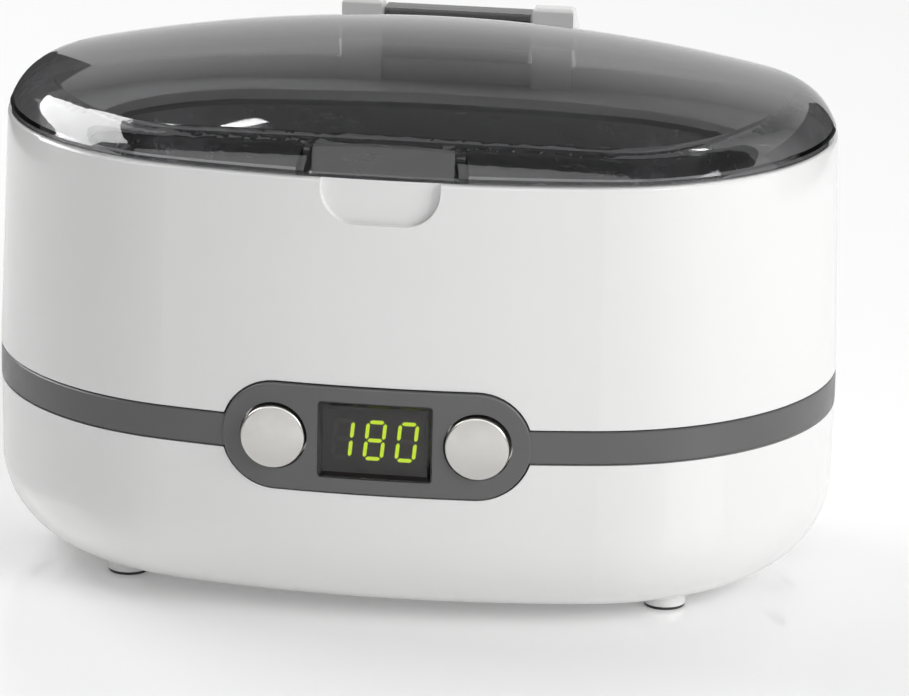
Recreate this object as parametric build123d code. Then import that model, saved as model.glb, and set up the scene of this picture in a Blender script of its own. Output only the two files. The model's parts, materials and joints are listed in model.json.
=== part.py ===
"""Benchtop ultrasonic cleaner: smoked dome lid, stainless tank, two-button timer panel.

Millimetres, +Z up. The front, with the control panel, faces -Y, and the bench is z = 0.
Every sub-part is drawn around the axis of the oval body. save() then moves it by ORIGIN_SHIFT,
which puts the origin at the middle of the whole footprint, with the hinge and the buttons.
"""
from build123d import *
from math import asin, atan2, cos, degrees, pi, radians, sin, sqrt, tan
import os

# ---- body outline: an oval of four tangent arcs ----
HALF_WIDTH = 103.0
HALF_DEPTH = 68.0
R_END = 64.0
END_X = HALF_WIDTH - R_END
R_LONG = (END_X**2 + HALF_DEPTH**2 - R_END**2) / (2 * (HALF_DEPTH - R_END))
LONG_Y = R_LONG - HALF_DEPTH
END_HALF_ANGLE = degrees(atan2(LONG_Y, END_X))

# ---- heights above the bench ----
BASE_BOTTOM = 3.1
BAND_BOTTOM = 44.0
BAND_TOP = 51.9
RIM_Z = 110.2
DECK_TOP = 104.5
DECK_THICK = 2.5
PANEL_Z = 47.9

# ---- shells ----
WALL = 2.4
RIM_EDGE_R = 0.8
UPPER_DRAFT = 1.93
LOWER_DRAFT = 0.7
BASE_CORNER_R = 22.0
BASE_INSET = 0.6
GAP_OVER_BAND = 0.45
GAP_UNDER_BAND = 0.3
BOSS_R = 3.5

# ---- trim band and control panel ----
BAND_INSET = 0.1
BAND_INNER = 3.0
TONGUE_OUTER = 3.3
TONGUE_INNER = 4.6
TONGUE_REACH = 4.0
PANEL_PROUD = 0.35
PANEL_LENGTH = 73.3
PANEL_HEIGHT = 25.8
PANEL_GAP = 0.4
PANEL_EDGE_R = 0.5
BUTTON_X = 24.2
BUTTON_R = 7.6
BUTTON_HOLE_R = 8.1
BUTTON_FLANGE_R = 9.0
BUTTON_FLANGE_T = 1.0
BUTTON_STEM_R = 2.2
BUTTON_FACE_Y = -69.0
BUTTON_SETBACK = 0.4
WINDOW_W = 27.3
WINDOW_H = 18.7
WINDOW_RECESS = 0.45
WINDOW_CORNER_R = 1.0
WINDOW_FIT = 0.05
WINDOW_FRAME = 0.35
WINDOW_BEVEL = 0.9

# ---- finger pocket in the front of the rim ----
POCKET_W = 29.4
POCKET_H = 11.0
POCKET_CORNER_R = 9.0
POCKET_DEPTH = 1.8
POCKET_DRAFT = 4.0
POCKET_BACKING = 3.0

# ---- lid ----
LID_INSET = 2.45
LID_LIFT = 0.3
LID_THICK = 2.2
LID_BEAD = 1.2
LID_WALL_DRAFT = 25.0
LID_ROOT = 8.0  # the leaning wall is drawn from this far below the bead
LID_SHOULDER_R = 14.0
CROWN_TOP = 131.3
CROWN_R_X = 400.0
CROWN_R_Y = 148.0
LID_REAR_TRIM_Y = 64.2
FACET_W = 33.4
FACET_TILT = 12.0
FACET_FOOT = 3.2
FACET_SIDE_DRAFT = 27.0

# ---- hinge ----
HINGE_Y = 67.0
HINGE_Z = 117.0
PIN_R = 1.5
PIN_FIXED_GAP = 0.02
PIN_RUNNING_GAP = 0.06
TOWER_INNER_X = 19.3
TOWER_OUTER_X = 29.6
TOWER_FRONT_Y = 60.5
TOWER_REAR_Y = 77.0
TOWER_TOP = 124.4
TOWER_TOP_DEPTH = 4.5
TOWER_SHOULDER_Z = 116.0
TOWER_NOSE_Z = 111.0
TOWER_EDGE_R = 1.0
TOWER_RIB_FOOT = 88.0
HINGE_TONGUE_HALF = 18.7
KNUCKLE_R = 5.6
NOTCH_HALF = 30.5
NOTCH_FRONT_Y = 57.0

# ---- tank ----
DECK_OPENING_INSET = 21.5
TANK_INSET = 22.5
TANK_SHEET = 0.8
TANK_FLOOR = 50.0
TANK_CORNER_R = 8.0
FLANGE_INSET = 15.5
GASKET_THICK = 1.2
CLIP_X = 38.0
CLIP_INSET = 11.0
CLIP_T = 0.9
CLIP_W = 9.0

# ---- transducer stack, hanging under the tank floor ----
FRONT_MASS_H = 12.0
FRONT_MASS_R = 19.0
RING_R = 15.0
RING_HOLE_R = 6.5
RING_H = 4.0
ELECTRODE_H = 0.3
BACK_MASS_H = 10.0
BOLT_R = 4.0
BOLT_HEAD_R = 6.5
BOLT_HEAD_H = 5.0

# ---- main board, in the base on the left ----
BOARD_Z = 12.0
BOARD_T = 1.6
BOARD_X = (-80.0, -25.0)
BOARD_Y = (-28.0, 28.0)
STANDOFF_INSET = 4.5
STANDOFF_R = 3.2

CAPACITORS = ((-68.0, -12.0, 8.0, 24.0), (-68.0, 8.0, 5.0, 16.0), (-66.0, 20.5, 4.0, 12.0))
TRANSFORMER_X = -40.0
FUSE_X = (-57.0, -37.0)
CONNECTOR_TOP = 8.0
SINK_X = (-66.0, -34.0)
SINK_FACE_Y = -22.5
SINK_H = 26.0
FIN_COUNT = 6
FIN_T = 1.6
TRANSISTOR_X = (-44.0, -57.5)
LEG_PITCH = 2.54
RIBBON_W = 5.0
RIBBON_T = 0.9

# ---- display board, behind the control panel ----
DISPLAY_BOARD_Y = -55.6
DISPLAY_BOARD_W = 66.0
DISPLAY_BOARD_H = 23.6
DISPLAY_POST_X = 17.0
DISPLAY_POST_DZ = 9.4
HOUSING_W = 24.0
HOUSING_H = 14.0
HOUSING_FRONT_Y = -63.5
DIGIT_H = 9.8
DIGIT_W = 4.9
DIGIT_PITCH = 7.6
SEGMENT_W = 0.85
SEGMENT_GAP = 0.2
SEGMENT_T = 0.25
DIGIT_SLANT = 6.0
DIGITS_X = -0.45
DIGITS_Z = PANEL_Z - 0.6

# ---- tact switches on the display board ----
SWITCH_SIDE = 6.2
SWITCH_H = 3.6
PLUNGER_R = 1.7
PLUNGER_GAP = 0.08
PLUNGER_PROUD = 1.3
PLUNGER_SUNK = 1.2

# ---- power inlet, rear centre ----
INLET_Z = 32.0
INLET_FLANGE_W = 26.0
INLET_FLANGE_H = 15.6
INLET_BODY_W = 21.0
INLET_BODY_H = 12.0
INLET_SEAT_Y = 66.6
INLET_FACE_Y = 68.4
INLET_DEPTH = 20.0
INLET_SOCKET_DEPTH = 12.0
INLET_LOBE_R = 4.4
INLET_PIN_X = 4.3
INLET_PIN_R = 1.2

# ---- feet and casing screws ----
FOOT_X = 65.8
FOOT_Y = 31.5
FOOT_R = 5.1
PAD_H = 0.8
PAD_STEM_R = 2.0
PAD_STEM_H = 2.8
SCREW_ANGLE = 15.0
SCREW_INSET = 10.0
JOIN_Z = 20.0
JOIN_GAP = 0.3
SCREW_SEAT_Z = 13.0
SCREW_WELL_R = 3.2
SCREW_SHANK_HOLE_R = 1.7
PILOT_R = 1.25

ORIGIN_SHIFT = (0.0, -4.0, 0.0)

# ---- heights that follow ----
DECK_UNDER = DECK_TOP - DECK_THICK
UPPER_BOTTOM = BAND_TOP + GAP_OVER_BAND
LOWER_TOP = BAND_BOTTOM - GAP_UNDER_BAND
FLANGE_TOP = DECK_UNDER - GASKET_THICK
FLANGE_UNDER = FLANGE_TOP - TANK_SHEET
TANK_UNDER = TANK_FLOOR - TANK_SHEET
LID_BOTTOM = RIM_Z + LID_LIFT
BOARD_TOP = BOARD_Z + BOARD_T
UPPER_SLOPE = tan(radians(UPPER_DRAFT))
LOWER_SLOPE = tan(radians(LOWER_DRAFT))


# ================= basic shapes =================
def oval(inset):
    """The body outline moved inwards by inset, as a face in the XY plane."""
    a = END_HALF_ANGLE
    edges = []
    for side, turn in ((1, 0), (-1, 180)):
        edges.append(CenterArc((side * END_X, 0), R_END - inset, turn - a, 2 * a))
        edges.append(CenterArc((0, -side * LONG_Y), R_LONG - inset, turn + a, 180 - 2 * a))
    return make_face(edges)


def slab(inset, low, high, draft=0.0):
    """An oval prism from low to high whose sides lean inwards by draft degrees going up."""
    return extrude(Pos(0, 0, low) * oval(inset), high - low, taper=draft)


def oval_ring(outer, inner, low, high):
    return slab(outer, low, high) - slab(inner, low - 1, high + 1)


def box(x, y, z):
    """A box between the given low and high values."""
    size = (x[1] - x[0], y[1] - y[0], z[1] - z[0])
    centre = ((x[0] + x[1]) / 2, (y[0] + y[1]) / 2, (z[0] + z[1]) / 2)
    return Pos(*centre) * Box(*size)


def post(x, y, low, high, radius):
    """A round post along Z."""
    return Pos(x, y, (low + high) / 2) * Cylinder(radius, high - low)


def rod_y(x, z, front, back, radius):
    """A round rod along Y."""
    return Pos(x, (front + back) / 2, z) * Rot(90, 0, 0) * Cylinder(radius, back - front)


def rod_x(y, z, left, right, radius):
    """A round rod along X."""
    return Pos((left + right) / 2, y, z) * Rot(0, 90, 0) * Cylinder(radius, right - left)


def front_prism(sketch, z, front, back, draft=0.0):
    """A sketch drawn in X and Z around height z, extruded from y = front towards y = back."""
    plane = Plane(origin=(0, front, z), x_dir=(1, 0, 0), z_dir=(0, 1, 0))
    flipped = mirror(sketch, Plane.XZ)
    return extrude(plane * flipped, back - front, taper=draft)


def long_arc_y(x, inset):
    """Distance from the middle plane to the front or rear wall at x, for an inset outline."""
    return sqrt((R_LONG - inset) ** 2 - x**2) - LONG_Y


def end_arc_point(angle, inset):
    """A point of an inset outline on the right end arc."""
    radius = R_END - inset
    return END_X + radius * cos(radians(angle)), radius * sin(radians(angle))


def four_ways(x, y):
    """The point mirrored into all four quadrants."""
    return [(sx * x, sy * y) for sx in (-1, 1) for sy in (-1, 1)]


def crown(drop=0.0):
    """Everything under the lid's crown: a barrel of two radii, lowered by drop."""
    r_y = CROWN_R_Y - drop
    r_x = CROWN_R_X - drop
    half = HALF_DEPTH + 4
    top = CROWN_TOP - drop
    foot = top - 60
    edge_z = top - r_y + sqrt(r_y**2 - half**2)
    outline = [
        ThreePointArc((0, -half, edge_z), (0, 0, top), (0, half, edge_z)),
        Line((0, half, edge_z), (0, half, foot)),
        Line((0, half, foot), (0, -half, foot)),
        Line((0, -half, foot), (0, -half, edge_z)),
    ]
    half_turn = degrees(asin((HALF_WIDTH + 12) / r_x))
    axis = Axis((0, 0, top - r_x), (0, 1, 0))
    section = make_face(outline).rotate(axis, -half_turn)
    return revolve(section, axis, 2 * half_turn)


# ================= casing =================
def upper_outer(offset, low, high):
    """The drafted upper body, offset inwards, between two heights."""
    shift = (low - UPPER_BOTTOM) * UPPER_SLOPE
    return slab(offset + shift, low, high, UPPER_DRAFT)


def panel_outline(gap=0.0):
    """The control panel's stadium."""
    return SlotOverall(PANEL_LENGTH + 2 * gap, PANEL_HEIGHT + 2 * gap)


def pocket_cutter(grow=0.0):
    """The U-shaped finger pocket, narrowing towards its floor."""
    outline = RectangleRounded(POCKET_W + 2 * grow, 2 * (POCKET_H + grow), POCKET_CORNER_R + grow)
    return front_prism(outline, RIM_Z, -HALF_DEPTH - 6, -HALF_DEPTH + 12, POCKET_DRAFT)


def hinge_tower(side):
    """One of the two hinge towers, with the rib that carries it down the rear wall."""
    points = [
        (TOWER_FRONT_Y, DECK_TOP - 1.5),
        (TOWER_FRONT_Y, TOWER_TOP),
        (TOWER_FRONT_Y + TOWER_TOP_DEPTH, TOWER_TOP),
        (TOWER_REAR_Y, TOWER_SHOULDER_Z),
        (TOWER_REAR_Y, TOWER_NOSE_Z),
        (HALF_DEPTH - 2.0, TOWER_RIB_FOOT),
        (HALF_DEPTH - 4.6, TOWER_RIB_FOOT),
        (HALF_DEPTH - 4.6, DECK_TOP - 1.5),
    ]
    width = TOWER_OUTER_X - TOWER_INNER_X
    profile = make_face(Polyline([(0, y, z) for y, z in points], close=True))
    low_x = TOWER_INNER_X if side > 0 else -TOWER_OUTER_X
    tower = extrude(Pos(low_x, 0, 0) * profile, width, dir=(1, 0, 0))
    return fillet(tower.faces().sort_by(Axis.Z)[-1].edges(), TOWER_EDGE_R)


def make_upper_casing():
    casing = slab(0, UPPER_BOTTOM, RIM_Z, UPPER_DRAFT)
    casing -= slab(WALL, UPPER_BOTTOM, DECK_UNDER, UPPER_DRAFT)
    casing -= upper_outer(WALL, DECK_TOP, RIM_Z + 1)
    casing -= slab(DECK_OPENING_INSET, DECK_UNDER - 1, DECK_TOP + 1)
    rim = casing.edges().group_by(Axis.Z)[-1]
    casing = fillet(rim, RIM_EDGE_R)
    low = RIM_Z - POCKET_H - 2 * POCKET_BACKING
    wall = upper_outer(0.6, low, RIM_Z - RIM_EDGE_R) - upper_outer(WALL + 2.2, low, RIM_Z)
    casing += pocket_cutter(POCKET_BACKING) & wall
    casing -= pocket_cutter() - upper_outer(POCKET_DEPTH, low, RIM_Z + 2)
    for side in (-1, 1):
        casing += hinge_tower(side)
    casing -= rod_x(HINGE_Y, HINGE_Z, -TOWER_OUTER_X - 1, TOWER_OUTER_X + 1, PIN_R + PIN_FIXED_GAP)
    for x, y in four_ways(*end_arc_point(SCREW_ANGLE, SCREW_INSET)):
        casing += post(x, y, JOIN_Z + JOIN_GAP, DECK_UNDER, BOSS_R)
        casing -= post(x, y, JOIN_Z, JOIN_Z + 16, PILOT_R)
    for x, y in clip_points():
        casing += post(x, y, FLANGE_UNDER, DECK_UNDER, BOSS_R)
        casing -= post(x, y, FLANGE_UNDER - 1, DECK_UNDER + 1.5, 0.9)
    casing -= front_prism(panel_outline(PANEL_GAP), PANEL_Z, -HALF_DEPTH - 3, -HALF_DEPTH + 12)
    return casing


def make_lower_casing():
    outer = slab(BASE_INSET, BASE_BOTTOM, LOWER_TOP, -LOWER_DRAFT)
    outer = fillet(outer.edges().group_by(Axis.Z)[0], BASE_CORNER_R)
    floor = BASE_BOTTOM + WALL
    inner = slab(BASE_INSET + WALL, floor, LOWER_TOP, -LOWER_DRAFT)
    inner = fillet(inner.edges().group_by(Axis.Z)[0], BASE_CORNER_R - WALL)
    casing = outer - inner
    screw_points = four_ways(*end_arc_point(SCREW_ANGLE, SCREW_INSET))
    for x, y in screw_points:
        casing += post(x, y, BASE_BOTTOM, JOIN_Z, 5.0) & outer
    for x, y in four_ways(FOOT_X, FOOT_Y):
        casing += post(x, y, PAD_H, BASE_BOTTOM + 0.2, FOOT_R)
        casing += post(x, y, BASE_BOTTOM, floor + 2, FOOT_R) & outer
        casing -= post(x, y, 0, floor, PAD_STEM_R + 0.05)
    for x, y in standoff_points():
        casing += post(x, y, floor - 0.5, BOARD_Z, STANDOFF_R)
        casing -= post(x, y, floor, BOARD_Z + 1, PILOT_R)
    for x, y in screw_points:
        casing -= post(x, y, 0, SCREW_SEAT_Z, SCREW_WELL_R)
        casing -= post(x, y, 0, JOIN_Z + 1, SCREW_SHANK_HOLE_R)
    casing -= front_prism(panel_outline(PANEL_GAP), PANEL_Z, -HALF_DEPTH - 3, -HALF_DEPTH + 12)
    seat = RectangleRounded(INLET_FLANGE_W + 0.3, INLET_FLANGE_H + 0.3, 3.15)
    casing -= front_prism(seat, INLET_Z, INLET_SEAT_Y, INLET_SEAT_Y + 10)
    hole = Rectangle(INLET_BODY_W + 0.3, INLET_BODY_H + 0.3)
    casing -= front_prism(hole, INLET_Z, HALF_DEPTH - 14, HALF_DEPTH)
    return casing


def make_trim_band():
    """The grey ring between the casings, with the control panel and its board posts."""
    band = oval_ring(BAND_INSET, BAND_INNER, BAND_BOTTOM, BAND_TOP)
    band = chamfer(outer_rim_edges(band), 0.3)
    low, high = BAND_BOTTOM - TONGUE_REACH, BAND_TOP + TONGUE_REACH
    tongue = oval_ring(TONGUE_OUTER, TONGUE_INNER, low, high)
    tongue += oval_ring(BAND_INNER - 0.2, TONGUE_OUTER + 0.2, BAND_BOTTOM + 1, BAND_TOP - 1)
    tongue -= box((-END_X, END_X), (-HALF_DEPTH - 10, 0), (0, RIM_Z))
    span = PANEL_HEIGHT / 2 + 2
    panel = oval_ring(-PANEL_PROUD, BAND_INNER, PANEL_Z - span, PANEL_Z + span)
    panel &= front_prism(panel_outline(), PANEL_Z, -HALF_DEPTH - 3, -HALF_DEPTH + 12)
    face = panel.faces().sort_by(lambda f: f.center().Y)[0]
    panel = fillet(face.edges(), PANEL_EDGE_R)
    band += tongue
    band += panel
    for x in (-DISPLAY_POST_X, DISPLAY_POST_X):
        for dz in (-DISPLAY_POST_DZ, DISPLAY_POST_DZ):
            root_y = -long_arc_y(x, BAND_INNER - 1.0)
            band += rod_y(x, PANEL_Z + dz, root_y, DISPLAY_BOARD_Y, 2.2)
            band -= rod_y(x, PANEL_Z + dz, DISPLAY_BOARD_Y - 6, DISPLAY_BOARD_Y + 1, 1.05)
    for x in (-BUTTON_X, BUTTON_X):
        band -= rod_y(x, PANEL_Z, -HALF_DEPTH - 3, -HALF_DEPTH + 8, BUTTON_HOLE_R)
    opening = RectangleRounded(WINDOW_W, WINDOW_H, WINDOW_CORNER_R)
    band -= front_prism(opening, PANEL_Z, -HALF_DEPTH - 3, -HALF_DEPTH + 8)
    return band


def outer_rim_edges(ring):
    """The long outer edges at the top and bottom of a ring."""
    faces = [f for f in ring.faces() if abs(f.normal_at().Z) < 0.5]
    outer = [f for f in faces if f.normal_at().dot(f.center() - Vector(0, 0, f.center().Z)) > 0]
    edges = ShapeList([e for f in outer for e in f.edges()])
    return ShapeList(e for e in edges if e.bounding_box().size.Z < 1e-3)


# ================= lid and hinge =================
def facet_cutter(step=0.0):
    """The tilted flat cut into the front of the lid; step moves its floor and sides inwards."""
    foot = -long_arc_y(0, LID_INSET + FACET_FOOT + step / cos(radians(FACET_TILT)))
    face = Rectangle(FACET_W + 2 * step, 60)
    cutter = extrude(face, 14, taper=-FACET_SIDE_DRAFT)
    return Pos(0, foot, LID_BOTTOM) * Rot(90 - FACET_TILT, 0, 0) * cutter


def dome(step):
    """The lid's outer form, or its hollow when step is the wall thickness."""
    wall_low = LID_BOTTOM + LID_BEAD
    spread = LID_ROOT * tan(radians(LID_WALL_DRAFT))
    body = slab(LID_INSET + step - spread, wall_low - LID_ROOT, CROWN_TOP + 4, LID_WALL_DRAFT)
    body &= crown(step)
    shoulder = [e for e in body.edges() if e.length > 60 and e.center().Z > wall_low]
    body = fillet(shoulder, LID_SHOULDER_R - step)
    return body & slab(LID_INSET + step, LID_BOTTOM, CROWN_TOP + 4)


def make_lid():
    shell = dome(0)
    hollow = dome(LID_THICK) - facet_cutter(LID_THICK)
    lid = shell - facet_cutter() - hollow
    for side in (-1, 1):
        x = sorted((side * HINGE_TONGUE_HALF, side * NOTCH_HALF))
        lid -= box(x, (NOTCH_FRONT_Y, HALF_DEPTH + 5), (LID_BOTTOM - 2, CROWN_TOP))
    rear = (LID_REAR_TRIM_Y, HALF_DEPTH + 5)
    lid -= box((-NOTCH_HALF, NOTCH_HALF), rear, (LID_BOTTOM - 2, CROWN_TOP))
    tongue = rod_x(HINGE_Y, HINGE_Z, -HINGE_TONGUE_HALF, HINGE_TONGUE_HALF, KNUCKLE_R)
    block = [
        (HINGE_Y, HINGE_Z + KNUCKLE_R),
        (TOWER_FRONT_Y + 0.6, HINGE_Z + KNUCKLE_R),
        (TOWER_FRONT_Y + 0.2, HINGE_Z + KNUCKLE_R - 0.6),
        (TOWER_FRONT_Y - 1.4, HINGE_Z - 2.0),
        (NOTCH_FRONT_Y, HINGE_Z - 2.8),
        (NOTCH_FRONT_Y, LID_BOTTOM + 1.0),
        (HINGE_Y, HINGE_Z - KNUCKLE_R),
    ]
    profile = make_face(Polyline([(0, y, z) for y, z in block], close=True))
    tongue += extrude(Pos(-HINGE_TONGUE_HALF, 0, 0) * profile, 2 * HINGE_TONGUE_HALF, dir=(1, 0, 0))
    lid += tongue
    lid -= rod_x(HINGE_Y, HINGE_Z, -40, 40, PIN_R + PIN_RUNNING_GAP)
    return lid


def make_hinge_pin():
    pin = rod_x(HINGE_Y, HINGE_Z, -TOWER_OUTER_X + 0.6, TOWER_OUTER_X - 0.6, PIN_R)
    return chamfer(pin.edges().filter_by(GeomType.CIRCLE), 0.3)


# ================= buttons and display =================
def make_button(x):
    """A convex metallised cap with a retaining flange and a stem for its switch."""
    flange_front = BUTTON_SETBACK - long_arc_y(abs(x) + BUTTON_FLANGE_R, BAND_INNER)
    flange_back = flange_front + BUTTON_FLANGE_T
    face = BUTTON_FACE_Y
    brow, edge = (BUTTON_R - 0.5, face + 0.25), (BUTTON_R, face + 0.8)
    outline = [
        ThreePointArc((0, face), (4.0, face + 0.07), brow),
        ThreePointArc(brow, (BUTTON_R - 0.13, face + 0.42), edge),
        Polyline(
            edge,
            (BUTTON_R, flange_front),
            (BUTTON_FLANGE_R, flange_front),
            (BUTTON_FLANGE_R, flange_back),
            (BUTTON_STEM_R, flange_back),
            (BUTTON_STEM_R, plunger_front()),
            (0, plunger_front()),
            (0, face),
        ),
    ]
    return Pos(x, 0, PANEL_Z) * revolve(make_face(outline), Axis.Y)


def plunger_front():
    return DISPLAY_BOARD_Y - SWITCH_H - PLUNGER_PROUD


def make_plunger(x):
    back = DISPLAY_BOARD_Y - SWITCH_H + PLUNGER_SUNK
    return rod_y(x, PANEL_Z, plunger_front(), back, PLUNGER_R)


def make_switch_bodies():
    bodies = []
    for x in (-BUTTON_X, BUTTON_X):
        half = SWITCH_SIDE / 2
        front = DISPLAY_BOARD_Y - SWITCH_H
        body = box((x - half, x + half), (front, DISPLAY_BOARD_Y), (PANEL_Z - half, PANEL_Z + half))
        body = chamfer(body.edges().filter_by(Axis.Y), 0.5)
        body -= rod_y(x, PANEL_Z, front - 1, front + 2 * PLUNGER_SUNK, PLUNGER_R + PLUNGER_GAP)
        bodies.append(body)
    return Compound(bodies)


def make_display_window():
    """The smoked window: a pane with a bevelled frame, and a flange behind the panel."""
    width, height = WINDOW_W - 2 * WINDOW_FIT, WINDOW_H - 2 * WINDOW_FIT
    pane = RectangleRounded(width, height, WINDOW_CORNER_R - WINDOW_FIT)
    front = -HALF_DEPTH - PANEL_PROUD + WINDOW_RECESS
    inner = -long_arc_y(WINDOW_W / 2 + 0.6, BAND_INNER) + 0.1
    window = front_prism(pane, PANEL_Z, front, inner)
    flange = Rectangle(WINDOW_W + 0.8, WINDOW_H + 2.4)
    window += front_prism(flange, PANEL_Z, inner, inner + 0.5)
    sunk = Rectangle(width - 2 * WINDOW_FRAME, height - 2 * WINDOW_FRAME)
    return window - front_prism(sunk, PANEL_Z, front, front + WINDOW_BEVEL, 45.0)


def make_display_housing():
    face = Rectangle(HOUSING_W, HOUSING_H)
    housing = Pos(DIGITS_X, 0, 0) * front_prism(face, DIGITS_Z, HOUSING_FRONT_Y, DISPLAY_BOARD_Y)
    return chamfer(housing.edges().filter_by(Axis.Y), 0.6)


def segment_bars():
    """The seven bars of one digit around its centre, by letter, as outlines in X and Z."""
    reach_x = DIGIT_W / 2 - SEGMENT_W / 2
    reach_z = DIGIT_H / 2 - SEGMENT_W / 2
    half = reach_z / 2
    across = 2 * reach_x - SEGMENT_W / 2 - SEGMENT_GAP
    upright = reach_z - SEGMENT_W / 2 - SEGMENT_GAP
    return {
        "a": (0, reach_z, across, 0),
        "b": (reach_x, half, upright, 90),
        "c": (reach_x, -half, upright, 90),
        "d": (0, -reach_z, across, 0),
        "e": (-reach_x, -half, upright, 90),
        "f": (-reach_x, half, upright, 90),
        "g": (0, 0, across, 0),
    }


def segment(digit_x, bar):
    """One bevelled bar of a leaning digit, on the face of the display housing."""
    x, z, length, turn = bar
    half_l, half_w = length / 2, SEGMENT_W / 2
    tip = half_l - half_w
    upper = [(-half_l, 0), (-tip, half_w), (tip, half_w), (half_l, 0)]
    lower = [(tip, -half_w), (-tip, -half_w)]
    points = []
    for u, v in upper + lower:
        across, up = (u, v) if turn == 0 else (v, u)
        up += z
        leaning = digit_x + x + across + up * tan(radians(DIGIT_SLANT))
        points.append((DIGITS_X + leaning, HOUSING_FRONT_Y, DIGITS_Z + up))
    return extrude(make_face(Polyline(points, close=True)), SEGMENT_T, dir=(0, -1, 0))


def make_segments(lit):
    """The lit or unlit bars of the three digits, which read one, eight, nought."""
    shown = {-DIGIT_PITCH: "bc", 0.0: "abcdefg", DIGIT_PITCH: "abcdef"}
    bars = segment_bars()
    return Compound([segment(x, bars[n]) for x in shown for n in bars if (n in shown[x]) == lit])


def make_display_board():
    half_w, half_h = DISPLAY_BOARD_W / 2, DISPLAY_BOARD_H / 2
    y = (DISPLAY_BOARD_Y, DISPLAY_BOARD_Y + BOARD_T)
    board = box((-half_w, half_w), y, (PANEL_Z - half_h, PANEL_Z + half_h))
    board = fillet(board.edges().filter_by(Axis.Y), 1.5)
    for x, z in display_post_points():
        board -= rod_y(x, z, DISPLAY_BOARD_Y - 1, DISPLAY_BOARD_Y + 3, 1.25)
    return board


def display_post_points():
    return [(x, PANEL_Z + dz) for x, dz in four_ways(DISPLAY_POST_X, DISPLAY_POST_DZ)]


def make_display_screws():
    back = DISPLAY_BOARD_Y + BOARD_T
    places = [Location((x, back, z), (-90, 0, 0)) for x, z in display_post_points()]
    return Compound([pan_screw(1.0, 2.0, 1.5, 6.5).moved(place) for place in places])


def pan_screw(shank_r, head_r, head_h, length):
    """A pan-head screw whose head sits on z = 0 and whose shank points down, with a cross recess."""
    screw = Pos(0, 0, head_h / 2) * Cylinder(head_r, head_h)
    screw = fillet(screw.edges().group_by(Axis.Z)[-1], head_h * 0.45)
    screw += Pos(0, 0, -length / 2) * Cylinder(shank_r, length)
    slot = Box(head_r * 1.1, head_r * 0.25, head_h)
    screw -= Pos(0, 0, head_h) * slot
    screw -= Pos(0, 0, head_h) * Rot(0, 0, 90) * slot
    return screw


# ================= tank and transducer =================
def make_tank():
    shell = slab(TANK_INSET - TANK_SHEET, TANK_UNDER, FLANGE_TOP)
    shell = fillet(shell.edges().group_by(Axis.Z)[0], TANK_CORNER_R + TANK_SHEET)
    shell += slab(FLANGE_INSET, FLANGE_UNDER, FLANGE_TOP)
    bath = slab(TANK_INSET, TANK_FLOOR, FLANGE_TOP + 1)
    bath = fillet(bath.edges().group_by(Axis.Z)[0], TANK_CORNER_R)
    return shell - bath


def make_tank_gasket():
    return oval_ring(FLANGE_INSET + 0.5, TANK_INSET - 0.3, FLANGE_TOP, DECK_UNDER)


def clip_points():
    """Centres of the four bosses that the tank clips are screwed to."""
    return four_ways(CLIP_X, long_arc_y(CLIP_X, CLIP_INSET))


def make_tank_clips():
    clips = []
    for x, y in clip_points():
        inward = -1 if y > 0 else 1
        y_range = sorted((y - inward * 4.0, y + inward * 8.0))
        z_range = (FLANGE_UNDER - CLIP_T, FLANGE_UNDER)
        clip = box((x - CLIP_W / 2, x + CLIP_W / 2), y_range, z_range)
        clip = fillet(clip.edges().filter_by(Axis.Z), 1.5)
        clip -= post(x, y, FLANGE_UNDER - 2, FLANGE_UNDER + 1, 1.2)
        clips.append(clip)
    return Compound(clips)


def make_tank_clip_screws():
    places = [Location((x, y, FLANGE_UNDER - CLIP_T), (180, 0, 0)) for x, y in clip_points()]
    return Compound([pan_screw(0.85, 2.2, 1.6, 4.0).moved(place) for place in places])


def stack_levels():
    """Heights of the joints in the transducer stack, from the tank down."""
    levels = [TANK_UNDER]
    for height in (FRONT_MASS_H, RING_H, ELECTRODE_H, RING_H, ELECTRODE_H, BACK_MASS_H):
        levels.append(levels[-1] - height)
    return levels


def make_front_mass():
    top, low = stack_levels()[:2]
    shoulder = top - 4.0
    mass = Pos(0, 0, (low + shoulder) / 2) * Cone(RING_R, FRONT_MASS_R, shoulder - low)
    mass += post(0, 0, shoulder, top, FRONT_MASS_R)
    return mass - post(0, 0, low - 1, top - 3, BOLT_R)


def make_piezo_rings():
    levels = stack_levels()
    rings = []
    for low, high in ((levels[2], levels[1]), (levels[4], levels[3])):
        rings.append(post(0, 0, low, high, RING_R) - post(0, 0, low - 1, high + 1, RING_HOLE_R))
    return Compound(rings)


def make_electrodes():
    levels = stack_levels()
    plates = []
    for low, high, y in ((levels[3], levels[2], 5.0), (levels[5], levels[4], -5.0)):
        plate = post(0, 0, low, high, RING_R)
        plate += box((-RING_R - 5, -8), (y - 2, y + 2), (low, high))
        plates.append(plate - post(0, 0, low - 1, high + 1, RING_HOLE_R))
    return Compound(plates)


def make_back_mass():
    levels = stack_levels()
    mass = post(0, 0, levels[6], levels[5], RING_R)
    mass = chamfer(mass.edges().group_by(Axis.Z)[0], 1.0)
    return mass - post(0, 0, levels[6] - 1, levels[5] + 1, BOLT_R)


def make_transducer_bolt():
    levels = stack_levels()
    seat = levels[6]
    bolt = post(0, 0, seat, levels[0] - 4, BOLT_R)
    head = post(0, 0, seat - BOLT_HEAD_H, seat, BOLT_HEAD_R)
    head = chamfer(head.edges().group_by(Axis.Z)[0], 0.6)
    socket = extrude(Pos(0, 0, seat - BOLT_HEAD_H) * RegularPolygon(3.5, 6), 3.0)
    return bolt + head - socket


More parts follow.
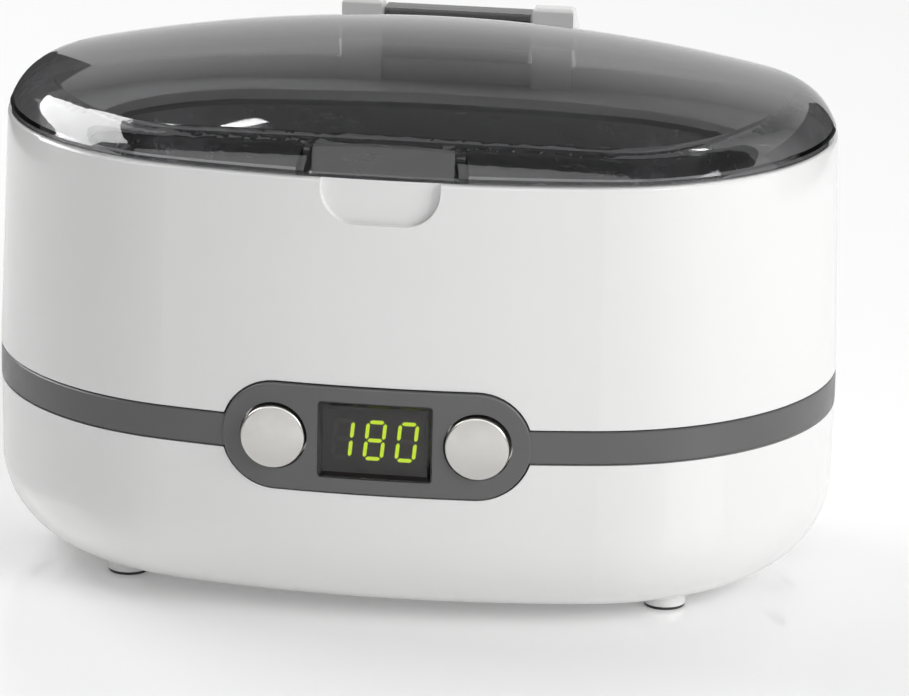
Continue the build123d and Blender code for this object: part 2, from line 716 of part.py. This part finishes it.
# ================= electronics =================
def standoff_points():
    x_low, x_high = BOARD_X
    y_low, y_high = BOARD_Y
    across = (x_high - x_low) / 2 - STANDOFF_INSET
    along = (y_high - y_low) / 2 - STANDOFF_INSET
    centre_x, centre_y = (x_low + x_high) / 2, (y_low + y_high) / 2
    return [(centre_x + x, centre_y + y) for x, y in four_ways(across, along)]


def make_main_board():
    board = box(BOARD_X, BOARD_Y, (BOARD_Z, BOARD_TOP))
    board = fillet(board.edges().filter_by(Axis.Z), 2.0)
    for x, y in standoff_points():
        board -= post(x, y, BOARD_Z - 1, BOARD_TOP + 1, 1.6)
    return board


def make_main_board_screws():
    screws = [Pos(x, y, BOARD_TOP) * pan_screw(1.2, 2.6, 1.8, 7.0) for x, y in standoff_points()]
    return Compound(screws)


def make_transformer_core():
    centre = Pos(TRANSFORMER_X, 0.0, BOARD_TOP)
    core = centre * box((-9, 9), (-11, 11), (0, 18))
    window = centre * box((-10, 10), (-8, 8), (3, 15))
    core -= window
    return core + centre * box((-4.5, 4.5), (-8, 8), (6, 12))


def make_transformer_winding():
    centre = Pos(TRANSFORMER_X, 0.0, BOARD_TOP)
    coil = centre * box((-8.4, 8.4), (-7.4, 7.4), (3.3, 14.7))
    coil = fillet(coil.edges().filter_by(Axis.Y), 2.5)
    return coil - centre * box((-4.6, 4.6), (-9, 9), (5.9, 12.1))


def make_capacitors():
    cans = []
    for x, y, radius, height in CAPACITORS:
        can = post(x, y, BOARD_TOP, BOARD_TOP + height, radius)
        cans.append(fillet(can.edges().group_by(Axis.Z)[-1], 0.8))
    return Compound(cans)


def make_heat_sink():
    """An extruded aluminium sink standing on the board, with fins towards the front."""
    left, right = SINK_X
    top = BOARD_TOP + SINK_H
    sink = box(SINK_X, (SINK_FACE_Y - 2.5, SINK_FACE_Y), (BOARD_TOP, top))
    step = (right - left - FIN_T) / (FIN_COUNT - 1)
    for i in range(FIN_COUNT):
        x = left + i * step
        sink += box((x, x + FIN_T), (SINK_FACE_Y - 5.0, SINK_FACE_Y - 2.4), (BOARD_TOP + 3, top))
    return sink


def make_power_transistors():
    """Two tab-mounted transistors, each standing on three legs against the heat sink."""
    back = SINK_FACE_Y + 0.1
    parts = []
    for x in TRANSISTOR_X:
        body = box((x - 5, x + 5), (back, back + 4.4), (BOARD_TOP + 4, BOARD_TOP + 13))
        body += box((x - 5, x + 5), (back, back + 1.2), (BOARD_TOP + 13, BOARD_TOP + 19))
        for leg_x in (x - LEG_PITCH, x, x + LEG_PITCH):
            leg = (leg_x - 0.4, leg_x + 0.4)
            body += box(leg, (back + 2.0, back + 2.5), (BOARD_TOP, BOARD_TOP + 4.2))
        body -= rod_y(x, BOARD_TOP + 16, back - 1, back + 2, 1.6)
        parts.append(body)
    return Compound(parts)


def make_fuse():
    """A glass cartridge fuse in two end clips."""
    y, z = 24.0, BOARD_TOP + 4.2
    fuse = rod_x(y, z, *FUSE_X, 2.5)
    for x in (FUSE_X[0], FUSE_X[1] - 5):
        fuse += box((x, x + 5), (y - 3.1, y + 3.1), (BOARD_TOP, z + 1.0))
    return fuse


def make_connectors():
    """Wire headers: mains at the rear, transducer at the right and ribbon at the front."""
    z = (BOARD_TOP, BOARD_TOP + CONNECTOR_TOP)
    mains = box((-46.0, -34.0), (13.0, 19.0), z)
    driver = box((-29.5, -25.6), (-6.0, 6.0), z)
    ribbon = box((-31.2, -25.2), (-18.0, -12.0), z)
    return Compound([chamfer(b.edges().group_by(Axis.Z)[-1], 0.4) for b in (mains, driver, ribbon)])


def make_power_inlet():
    """A two-pin figure-eight appliance inlet, snapped into the rear wall."""
    flange = RectangleRounded(INLET_FLANGE_W, INLET_FLANGE_H, 3.0)
    inlet = front_prism(flange, INLET_Z, INLET_SEAT_Y, INLET_FACE_Y)
    inlet = fillet(inlet.faces().sort_by(Axis.Y)[-1].edges(), 0.6)
    body = RectangleRounded(INLET_BODY_W, INLET_BODY_H, 1.0)
    inlet += front_prism(body, INLET_Z, INLET_FACE_Y - INLET_DEPTH, INLET_SEAT_Y)
    lobe_x = INLET_PIN_X - 0.9
    lobes = Rectangle(2 * lobe_x, 2 * INLET_LOBE_R - 2.2)
    for x in (-lobe_x, lobe_x):
        lobes += Pos(x, 0) * Circle(INLET_LOBE_R)
    inlet -= front_prism(lobes, INLET_Z, INLET_FACE_Y - INLET_SOCKET_DEPTH, INLET_FACE_Y + 1)
    for x in (-INLET_PIN_X, INLET_PIN_X):
        inlet -= rod_y(x, INLET_Z, INLET_FACE_Y - INLET_DEPTH - 1, INLET_FACE_Y, INLET_PIN_R)
    return inlet


def make_inlet_pins():
    pins = []
    for x in (-INLET_PIN_X, INLET_PIN_X):
        pin = rod_y(x, INLET_Z, INLET_FACE_Y - INLET_DEPTH, INLET_FACE_Y - 2.5, INLET_PIN_R)
        pin = fillet(pin.edges().group_by(Axis.Y)[-1], 0.6)
        tab_y = (INLET_FACE_Y - INLET_DEPTH - 5, INLET_FACE_Y - INLET_DEPTH + 0.1)
        pins.append(pin + box((x - 0.4, x + 0.4), tab_y, (INLET_Z - 1.1, INLET_Z + 1.1)))
    return Compound(pins)


def lead(points, radii, wire_r):
    """A round wire along straight runs joined by tangent arcs."""
    path = FilletPolyline(*points, radius=radii)
    start = Plane(origin=points[0], z_dir=Vector(*points[1]) - Vector(*points[0]))
    wire = sweep(start * Circle(wire_r), path=path)
    ratio = wire.volume / (pi * wire_r**2 * path.length)
    print("lead length", round(path.length, 1), "volume ratio", round(ratio, 4), "radii", radii)
    return wire


def make_mains_leads():
    leads = []
    start_y = INLET_FACE_Y - INLET_DEPTH - 5
    for x, row in ((-INLET_PIN_X, 0.0), (INLET_PIN_X, 4.0)):
        end_x = -42.0 + row
        points = [
            (x, start_y, INLET_Z),
            (x, start_y - 10 - row, INLET_Z),
            (end_x, 16.0, INLET_Z + 3),
            (end_x, 16.0, BOARD_TOP + CONNECTOR_TOP),
        ]
        leads.append(lead(points, [5.0, 5.0], 1.0))
    return Compound(leads)


def make_transducer_leads():
    levels = stack_levels()
    leads = []
    for z, y in ((levels[3] + ELECTRODE_H / 2, 5.0), (levels[5] + ELECTRODE_H / 2, -5.0)):
        end_y = y * 0.5
        points = [
            (-RING_R - 5, y, z),
            (-RING_R - 9.5, y, z),
            (-27.5, end_y, z - 4.5),
            (-27.5, end_y, BOARD_TOP + CONNECTOR_TOP),
        ]
        leads.append(lead(points, [2.0, 2.0], 0.8))
    return Compound(leads)


def make_display_ribbon():
    """The flat lead from the display board down to the main board."""
    x = -28.2
    start_y = DISPLAY_BOARD_Y + BOARD_T
    points = [
        (x, start_y, 40.0),
        (x, start_y + 9.0, 40.0),
        (x, -15.0, 31.0),
        (x, -15.0, BOARD_TOP + CONNECTOR_TOP),
    ]
    path = FilletPolyline(*points, radius=[4.0, 4.0])
    plane = Plane(origin=points[0], x_dir=(1, 0, 0), z_dir=(0, 1, 0))
    ribbon = sweep(plane * Rectangle(RIBBON_W, RIBBON_T), path=path)
    print("ribbon volume ratio", round(ribbon.volume / (RIBBON_W * RIBBON_T * path.length), 4))
    return ribbon


# ================= feet and fasteners =================
def make_foot_pads():
    pads = []
    for x, y in four_ways(FOOT_X, FOOT_Y):
        pad = post(x, y, 0, PAD_H, FOOT_R - 0.15)
        pad = chamfer(pad.edges().group_by(Axis.Z)[0], 0.25)
        pads.append(pad + post(x, y, PAD_H - 0.1, PAD_H + PAD_STEM_H, PAD_STEM_R))
    return Compound(pads)


def make_casing_screws():
    points = four_ways(*end_arc_point(SCREW_ANGLE, SCREW_INSET))
    places = [Location((x, y, SCREW_SEAT_Z), (180, 0, 0)) for x, y in points]
    return Compound([pan_screw(1.2, 2.9, 2.0, 20.0).moved(place) for place in places])


# ================= output =================
def save(name, shape):
    export_step(Pos(*ORIGIN_SHIFT) * shape, f"parts/{name}.step")


def main():
    os.makedirs("parts", exist_ok=True)
    save("upper_casing", make_upper_casing())
    save("lower_casing", make_lower_casing())
    save("trim_band", make_trim_band())
    save("lid", make_lid())
    save("hinge_pin", make_hinge_pin())
    for side, x in (("left", -BUTTON_X), ("right", BUTTON_X)):
        save(f"button_{side}", make_button(x))
        save(f"switch_plunger_{side}", make_plunger(x))
    save("switch_bodies", make_switch_bodies())
    save("display_window", make_display_window())
    save("display_housing", make_display_housing())
    save("segments_lit", make_segments(True))
    save("segments_unlit", make_segments(False))
    save("display_board", make_display_board())
    save("display_board_screws", make_display_screws())
    save("tank", make_tank())
    save("tank_gasket", make_tank_gasket())
    save("tank_clips", make_tank_clips())
    save("tank_clip_screws", make_tank_clip_screws())
    save("transducer_front_mass", make_front_mass())
    save("piezo_rings", make_piezo_rings())
    save("transducer_electrodes", make_electrodes())
    save("transducer_back_mass", make_back_mass())
    save("transducer_bolt", make_transducer_bolt())
    save("main_board", make_main_board())
    save("main_board_screws", make_main_board_screws())
    save("transformer_core", make_transformer_core())
    save("transformer_winding", make_transformer_winding())
    save("capacitors", make_capacitors())
    save("heat_sink", make_heat_sink())
    save("power_transistors", make_power_transistors())
    save("mains_fuse", make_fuse())
    save("board_connectors", make_connectors())
    save("power_inlet", make_power_inlet())
    save("inlet_pins", make_inlet_pins())
    save("mains_leads", make_mains_leads())
    save("transducer_leads", make_transducer_leads())
    save("display_ribbon", make_display_ribbon())
    save("foot_pads", make_foot_pads())
    save("casing_screws", make_casing_screws())


main()
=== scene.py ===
"""The ultrasonic cleaner's looks: materials, studio light and camera.

Everything is in metres, in the row's own frame: +Z up, the control panel faces -Y.
"""

import json
from math import cos, radians, sin

import bpy
from mathutils import Matrix, Vector

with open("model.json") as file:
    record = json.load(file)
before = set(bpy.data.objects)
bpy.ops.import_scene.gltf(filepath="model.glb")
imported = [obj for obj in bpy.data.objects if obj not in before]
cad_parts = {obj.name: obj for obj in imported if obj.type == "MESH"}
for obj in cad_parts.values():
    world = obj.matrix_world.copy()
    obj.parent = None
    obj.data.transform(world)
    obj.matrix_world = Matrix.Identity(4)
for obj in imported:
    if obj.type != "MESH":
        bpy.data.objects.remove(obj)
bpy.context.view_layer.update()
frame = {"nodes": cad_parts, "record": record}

# ---- camera, in degrees, metres and millimetres of film ----
CAMERA_AZIMUTH = 7.68
CAMERA_ELEVATION = 16.46
CAMERA_ROLL = 1.19
CAMERA_DISTANCE = 1.25948
CAMERA_TARGET = Vector((0.00921, -0.004, 0.05177))
CAMERA_LENS = 202.9
SENSOR_WIDTH = 36.0

# ---- smoked plastic: the colour and density of its absorption, and its roughness ----
LID_SMOKE = (0.06, 0.06, 0.07)
LID_SMOKE_DENSITY = 400.0
WINDOW_SMOKE = (0.14, 0.05, 0.05)
WINDOW_SMOKE_DENSITY = 430.0
CLEAR_ROUGHNESS = (0.012, 0.012 + 0.04)

# ---- light from the room: darkest and brightest wall, and the ceiling's share of it ----
WALL_LIGHT = (0.28, 0.85)
CEILING_LIGHT = 0.35
BRIGHT_SIDE = (0.8, 0.6, 0.0)
WALL_TURN = (-0.8, 0.5)
CEILING_RISE = (0.40, 0.64)

# ---- floor ----
FLOOR_HALF_SIDE = 6.0
FLOOR_GLOW = 0.11

# ---- metal: how fine its lines are along each axis, per metre, and how deep, in metres ----
BRUSHED = (30.0, 900.0, 900.0)
TURNED = (900.0, 900.0, 60.0)
EXTRUDED = (900.0, 900.0, 40.0)
DRAWN = (25.0, 500.0, 300.0)
EVEN = (300.0, 300.0, 300.0)
LINE_DEPTH = 1.5e-6
DRAWN_DEPTH = 5e-7

# ---- plastic: how fine its mottling, uneven gloss and grain are, per metre ----
MOTTLE_SCALE = 38.0
GLOSS_SCALE = 210.0
SMALL_PART_GRAIN = 1800.0
SMALL_PART_GRAIN_DEPTH = 6e-6


# ================= node helpers =================
class Shader:
    """One material under construction: its tree, its main shader and its texture space."""

    def __init__(self, name):
        self.material = bpy.data.materials.new(name)
        self.material.use_nodes = True
        self.tree = self.material.node_tree
        self.main = self.tree.nodes["Principled BSDF"]
        self.output = self.tree.nodes["Material Output"]
        self.space = self.tree.nodes.new("ShaderNodeTexCoord").outputs["Object"]

    def node(self, kind, **settings):
        made = self.tree.nodes.new(kind)
        for key, value in settings.items():
            setattr(made, key, value)
        return made

    def link(self, source, target):
        self.tree.links.new(source, target)

    def stretched(self, scale):
        """The texture space with each axis multiplied by scale."""
        mapping = self.node("ShaderNodeMapping")
        mapping.inputs["Scale"].default_value = scale
        self.link(self.space, mapping.inputs["Vector"])
        return mapping.outputs["Vector"]

    def noise(self, scale, detail=3.0, rough=0.55, space=None):
        made = self.node("ShaderNodeTexNoise")
        made.inputs["Scale"].default_value = scale
        made.inputs["Detail"].default_value = detail
        made.inputs["Roughness"].default_value = rough
        self.link(space or self.space, made.inputs["Vector"])
        return made.outputs["Fac"]

    def levels(self, source, low, high, out_low, out_high):
        """source stretched from low..high to out_low..out_high, and kept inside."""
        made = self.node("ShaderNodeMapRange")
        made.inputs["From Min"].default_value = low
        made.inputs["From Max"].default_value = high
        made.inputs["To Min"].default_value = out_low
        made.inputs["To Max"].default_value = out_high
        self.link(source, made.inputs["Value"])
        return made.outputs["Result"]

    def blend(self, factor, first, second):
        """A colour between first and second."""
        made = self.node("ShaderNodeMix", data_type="RGBA")
        self.link(factor, made.inputs["Factor"])
        for socket, value in ((made.inputs[6], first), (made.inputs[7], second)):
            if isinstance(value, tuple):
                socket.default_value = (*value, 1.0)
            else:
                self.link(value, socket)
        return made.outputs[2]

    def bump(self, height, distance):
        """A normal as if height rose and fell by distance, in metres."""
        made = self.node("ShaderNodeBump")
        made.inputs["Strength"].default_value = 1.0
        made.inputs["Distance"].default_value = distance
        self.link(height, made.inputs["Height"])
        return made.outputs["Normal"]

    def set(self, **values):
        """Plain values for the main shader's sockets, written with _ for a space."""
        for name, value in values.items():
            self.main.inputs[name.replace("_", " ")].default_value = value

    def feed(self, name, source):
        self.link(source, self.main.inputs[name])


def moulded(name, colour, worn, roughness, grain=900.0, grain_depth=2e-6, uneven=0.16):
    """Injection-moulded plastic: faint mottling, uneven gloss and a fine spark-eroded grain."""
    s = Shader(name)
    mottle = s.noise(MOTTLE_SCALE, 4.0, 0.6)
    s.feed("Base Color", s.blend(s.levels(mottle, 0.25, 0.75, 0.0, 1.0), colour, worn))
    low, high = roughness * (1 - uneven), roughness * (1 + uneven)
    s.feed("Roughness", s.levels(s.noise(GLOSS_SCALE, 5.0, 0.65), 0.3, 0.7, low, high))
    s.feed("Normal", s.bump(s.noise(grain, 2.0, 0.5), grain_depth))
    return s


def finish_all(materials):
    """Gives every CAD node its slot's material."""
    slots = {part["node"]: part["material_slot"] for part in frame["record"]["subparts"]}
    for node, obj in frame["nodes"].items():
        material = materials[slots[node]]
        for index in range(len(obj.material_slots)):
            obj.material_slots[index].material = material


# ================= materials =================
def casing_white():
    white, worn = (0.795, 0.795, 0.79), (0.785, 0.785, 0.782)
    s = moulded("casing_white", white, worn, 0.26, 1500.0, 2e-7, 0.05)
    s.set(Coat_Weight=0.3, Coat_Roughness=0.06)
    return s.material


def trim_grey():
    grey, worn = (0.100, 0.100, 0.102), (0.112, 0.112, 0.114)
    return moulded("trim_grey", grey, worn, 0.36, 2600.0, 4e-6).material


def clear_plastic(name, tint, streak_tint, smoke, density):
    """Smoked clear plastic, darker where it is thicker, with faint flow marks and wipe marks."""
    s = Shader(name)
    flow = s.noise(1.0, 4.0, 0.6, s.stretched((14.0, 60.0, 60.0)))
    s.feed("Base Color", s.blend(s.levels(flow, 0.35, 0.7, 0.0, 1.0), tint, streak_tint))
    wipes = s.noise(1.0, 5.0, 0.6, s.stretched((55.0, 300.0, 120.0)))
    s.feed("Roughness", s.levels(wipes, 0.4, 0.75, *CLEAR_ROUGHNESS))
    s.feed("Normal", s.bump(s.noise(24.0, 2.0, 0.5), 3e-6))
    s.set(Transmission_Weight=1.0, IOR=1.49)
    path = s.node("ShaderNodeLightPath")
    see_through = s.node("ShaderNodeBsdfTransparent")
    see_through.inputs["Color"].default_value = (0.9, 0.9, 0.9, 1.0)
    pick = s.node("ShaderNodeMixShader")
    s.link(path.outputs["Is Shadow Ray"], pick.inputs["Fac"])
    s.link(s.main.outputs["BSDF"], pick.inputs[1])
    s.link(see_through.outputs["BSDF"], pick.inputs[2])
    s.link(pick.outputs["Shader"], s.output.inputs["Surface"])
    body = s.node("ShaderNodeVolumeAbsorption")
    body.inputs["Color"].default_value = (*smoke, 1.0)
    body.inputs["Density"].default_value = density
    s.link(body.outputs["Volume"], s.output.inputs["Volume"])
    return s.material


def metal(name, colour, stain, roughness, lay, depth):
    """Metal with a directional surface: lay says how fine its lines are along each axis."""
    s = Shader(name)
    brushed = s.noise(1.0, 4.0, 0.6, s.stretched(lay))
    stains = s.noise(55.0, 4.0, 0.6)
    s.feed("Base Color", s.blend(s.levels(stains, 0.4, 0.75, 0.0, 1.0), colour, stain))
    s.feed("Roughness", s.levels(brushed, 0.3, 0.7, roughness * 0.75, roughness * 1.25))
    s.feed("Normal", s.bump(brushed, depth))
    s.set(Metallic=1.0)
    return s.material


def lit_segment():
    """A glowing bar, its green varying with a fine grain."""
    s = Shader("segment_lit")
    grain = s.noise(2600.0, 3.0, 0.6)
    glow = s.blend(grain, (0.52, 0.90, 0.005), (0.68, 1.0, 0.012))
    s.feed("Base Color", glow)
    s.feed("Emission Color", glow)
    s.set(Emission_Strength=2.9, Roughness=0.5)
    return s.material


def circuit_board(name, mask, track_mask, gap):
    """Solder mask over copper tracks."""
    s = Shader(name)
    tracks = s.node("ShaderNodeTexBrick")
    tracks.inputs["Scale"].default_value = 260.0
    for socket, colour in (("Color1", mask), ("Color2", track_mask), ("Mortar", gap)):
        tracks.inputs[socket].default_value = (*colour, 1.0)
    s.link(s.space, tracks.inputs["Vector"])
    s.feed("Base Color", tracks.outputs["Color"])
    s.feed("Roughness", s.levels(s.noise(500.0), 0.3, 0.7, 0.25, 0.4))
    s.feed("Normal", s.bump(tracks.outputs["Fac"], 2e-5))
    return s.material


def make_materials():
    made = {
        "casing_white": casing_white(),
        "trim_grey": trim_grey(),
        "lid_smoked": clear_plastic(
            "lid_smoked", (0.96, 0.96, 0.96), (0.90, 0.90, 0.91), LID_SMOKE, LID_SMOKE_DENSITY
        ),
        "window_smoked": clear_plastic(
            "window_smoked", (0.92, 0.90, 0.90), (0.86, 0.84, 0.84),
            WINDOW_SMOKE, WINDOW_SMOKE_DENSITY,
        ),
        "segment_lit": lit_segment(),
        "board_green": circuit_board(
            "board_green", (0.012, 0.11, 0.045), (0.016, 0.15, 0.06), (0.03, 0.22, 0.09)
        ),
        "board_black": circuit_board(
            "board_black", (0.010, 0.010, 0.011), (0.013, 0.013, 0.014), (0.022, 0.022, 0.023)
        ),
    }
    metals = (
        ("button_metallised", (0.55, 0.54, 0.52), (0.52, 0.51, 0.49), 0.22, EVEN, LINE_DEPTH),
        ("pin_steel", (0.60, 0.60, 0.61), (0.52, 0.52, 0.53), 0.22, BRUSHED, LINE_DEPTH),
        ("steel_plated", (0.66, 0.66, 0.68), (0.55, 0.56, 0.60), 0.3, BRUSHED, LINE_DEPTH),
        ("stainless", (0.58, 0.58, 0.585), (0.52, 0.52, 0.53), 0.24, DRAWN, DRAWN_DEPTH),
        ("mass_aluminium", (0.74, 0.74, 0.76), (0.66, 0.66, 0.68), 0.33, TURNED, LINE_DEPTH),
        ("mass_steel", (0.42, 0.42, 0.43), (0.34, 0.33, 0.32), 0.38, TURNED, LINE_DEPTH),
        ("electrode_brass", (0.75, 0.58, 0.27), (0.62, 0.45, 0.20), 0.3, BRUSHED, LINE_DEPTH),
        ("heat_sink_aluminium", (0.70, 0.70, 0.72), (0.6, 0.6, 0.62), 0.42, EXTRUDED, LINE_DEPTH),
        ("fuse_glass", (0.72, 0.70, 0.64), (0.60, 0.58, 0.52), 0.25, BRUSHED, LINE_DEPTH),
    )
    for name, colour, stain, roughness, lay, depth in metals:
        made[name] = metal(name, colour, stain, roughness, lay, depth)
    plastics = (
        ("display_body", (0.012, 0.012, 0.012), (0.02, 0.02, 0.02), 0.6),
        ("segment_dark", (0.055, 0.055, 0.050), (0.065, 0.065, 0.060), 0.55),
        ("seal_rubber", (0.022, 0.022, 0.022), (0.035, 0.035, 0.035), 0.7),
        ("foot_rubber", (0.020, 0.020, 0.021), (0.034, 0.034, 0.034), 0.75),
        ("switch_black", (0.022, 0.022, 0.022), (0.03, 0.03, 0.03), 0.5),
        ("piezo_ceramic", (0.50, 0.45, 0.36), (0.58, 0.53, 0.44), 0.5),
        ("ferrite", (0.05, 0.05, 0.055), (0.075, 0.075, 0.08), 0.65),
        ("winding_tape", (0.72, 0.52, 0.06), (0.78, 0.60, 0.12), 0.4),
        ("can_black", (0.018, 0.018, 0.05), (0.03, 0.03, 0.07), 0.3),
        ("transistor_black", (0.025, 0.025, 0.025), (0.04, 0.04, 0.04), 0.55),
        ("connector_white", (0.74, 0.71, 0.62), (0.78, 0.76, 0.68), 0.45),
        ("inlet_black", (0.020, 0.020, 0.021), (0.030, 0.030, 0.031), 0.45),
        ("lead_blue", (0.04, 0.10, 0.36), (0.06, 0.13, 0.42), 0.4),
        ("lead_red", (0.42, 0.03, 0.025), (0.5, 0.05, 0.04), 0.4),
        ("ribbon_grey", (0.36, 0.36, 0.37), (0.42, 0.42, 0.43), 0.5),
    )
    for name, colour, worn, roughness in plastics:
        made[name] = moulded(
            name, colour, worn, roughness, SMALL_PART_GRAIN, SMALL_PART_GRAIN_DEPTH
        ).material
    return made


# ================= studio =================
def make_camera():
    """The camera at the photograph's angle, from spherical angles around its target."""
    azimuth, elevation = radians(CAMERA_AZIMUTH), radians(CAMERA_ELEVATION)
    back = Vector((sin(azimuth) * cos(elevation), -cos(azimuth) * cos(elevation), sin(elevation)))
    data = bpy.data.cameras.new("camera")
    data.lens = CAMERA_LENS
    data.sensor_width = SENSOR_WIDTH
    data.clip_end = 20.0
    camera = bpy.data.objects.new("camera", data)
    level = back.to_track_quat("Z", "Y").to_matrix().to_4x4()
    roll = Matrix.Rotation(radians(CAMERA_ROLL), 4, "Z")
    camera.matrix_world = Matrix.Translation(CAMERA_TARGET + back * CAMERA_DISTANCE) @ level @ roll
    bpy.context.scene.collection.objects.link(camera)
    bpy.context.scene.camera = camera


def make_floor():
    """A pale, slightly glossy tabletop, level with the feet and faintly lit from below."""
    side = FLOOR_HALF_SIDE
    mesh = bpy.data.meshes.new("floor")
    corners = [(-side, -side, 0.0), (side, -side, 0.0), (side, side, 0.0), (-side, side, 0.0)]
    mesh.from_pydata(corners, [], [(0, 1, 2, 3)])
    floor = bpy.data.objects.new("floor", mesh)
    bpy.context.scene.collection.objects.link(floor)
    s = Shader("floor_gloss")
    cloud = s.noise(3.0, 3.0, 0.5)
    s.feed("Base Color", s.blend(cloud, (0.92, 0.92, 0.92), (0.94, 0.94, 0.94)))
    s.feed("Roughness", s.levels(s.noise(60.0, 4.0, 0.6), 0.3, 0.7, 0.035, 0.06))
    s.set(Emission_Color=(1.0, 1.0, 1.0, 1.0), Emission_Strength=FLOOR_GLOW)
    mesh.materials.append(s.material)


def softbox(name, place, aim, size, power, seen_by="all"):
    """A rectangular area light facing aim.

    seen_by is "all", "reflections" (it lights nothing dull) or "dull" (nothing reflects it).
    """
    data = bpy.data.lights.new(name, "AREA")
    data.shape = "RECTANGLE"
    data.size, data.size_y = size
    data.energy = power
    lamp = bpy.data.objects.new(name, data)
    lamp.location = place
    lamp.rotation_euler = (Vector(aim) - Vector(place)).to_track_quat("-Z", "Y").to_euler()
    lamp.visible_diffuse = seen_by != "reflections"
    lamp.visible_glossy = seen_by != "dull"
    bpy.context.scene.collection.objects.link(lamp)


def flag(name, x, outline):
    """A small black board beside one end of the lid, which only reflections show."""
    mesh = bpy.data.meshes.new(name)
    mesh.from_pydata([(x, y, z) for y, z in outline], [], [tuple(range(len(outline)))])
    board = bpy.data.objects.new(name, mesh)
    board.visible_camera = False
    board.visible_diffuse = False
    board.visible_transmission = False
    board.visible_shadow = False
    bpy.context.scene.collection.objects.link(board)
    felt = moulded(name + "_felt", (0.012, 0.012, 0.012), (0.018, 0.018, 0.018), 0.9)
    mesh.materials.append(felt.material)


def ramp(nodes, links, source, span, out):
    """source stretched from the span to out, and kept inside."""
    made = nodes.new("ShaderNodeMapRange")
    for name, value in zip(("From Min", "From Max", "To Min", "To Max"), (*span, *out)):
        made.inputs[name].default_value = value
    links.new(source, made.inputs["Value"])
    return made.outputs["Result"]


def make_backdrop():
    """A white sweep behind and to the right, dimmer at the front, the left and the ceiling."""
    world = bpy.data.worlds.new("studio")
    bpy.context.scene.world = world
    world.use_nodes = True
    nodes, links = world.node_tree.nodes, world.node_tree.links
    direction = nodes.new("ShaderNodeTexCoord").outputs["Generated"]
    split = nodes.new("ShaderNodeSeparateXYZ")
    links.new(direction, split.inputs["Vector"])
    facing = nodes.new("ShaderNodeVectorMath")
    facing.operation = "DOT_PRODUCT"
    links.new(direction, facing.inputs[0])
    facing.inputs[1].default_value = BRIGHT_SIDE
    side = ramp(nodes, links, facing.outputs["Value"], WALL_TURN, WALL_LIGHT)
    height = ramp(nodes, links, split.outputs["Z"], CEILING_RISE, (1.0, CEILING_LIGHT))
    strength = nodes.new("ShaderNodeMath")
    strength.operation = "MULTIPLY"
    links.new(side, strength.inputs[0])
    links.new(height, strength.inputs[1])
    links.new(strength.outputs["Value"], nodes["Background"].inputs["Strength"])
    nodes["Background"].inputs["Color"].default_value = (1.0, 1.0, 1.0, 1.0)


def make_studio():
    """Lamps and boards around the object; each lamp has a place, an aim, a size and a power."""
    # These light the object.
    softbox("key_right", (1.3, -0.7, 0.8), (0.0, 0.0, 0.06), (0.8, 0.8), 14.5)
    softbox("rear_left", (-0.98, 0.47, 1.06), (-0.08, -0.05, 0.12), (1.0, 0.4), 8.0, "dull")
    softbox("front_low", (0.2, -1.7, 0.30), (0.0, 0.0, 0.02), (1.6, 0.4), 1.5)
    softbox("top", (0.0, 0.7, 1.6), (0.0, 0.4, 0.0), (1.6, 1.2), 6.0, "dull")
    # These only show as reflections, most of them in the lid.
    shown = "reflections"
    softbox("front_facet", (0.0, -1.5, 0.38), (0.0, -0.07, 0.11), (1.6, 0.3), 1.5, shown)
    softbox("lid_left", (-1.10, 0.34, 0.99), (-0.08, -0.05, 0.12), (1.3, 0.82), 28.0, shown)
    softbox("front_band", (-0.1, -1.15, 1.10), (0.0, -0.06, 0.115), (2.6, 0.9), 16.0, shown)
    softbox("strip_left", (-0.495, 0.743, 1.33), (-0.04, -0.06, 0.12), (0.20, 0.045), 0.35, shown)
    softbox("strip_right", (0.52, 0.46, 1.36), (0.07, -0.05, 0.117), (0.20, 0.06), 0.55, shown)
    # These make the dark crescents at the lid's ends; outlines are (y, z) points.
    flag("flag_left", -0.125,
         ((-0.04, 0.095), (0.11, 0.095), (0.11, 0.175), (0.045, 0.172), (-0.04, 0.115)))
    flag("flag_right", 0.125,
         ((-0.03, 0.095), (0.12, 0.095), (0.12, 0.152), (-0.03, 0.142)))
    bpy.context.scene.view_settings.view_transform = "Standard"


make_camera()
make_floor()
make_backdrop()
make_studio()
finish_all(make_materials())
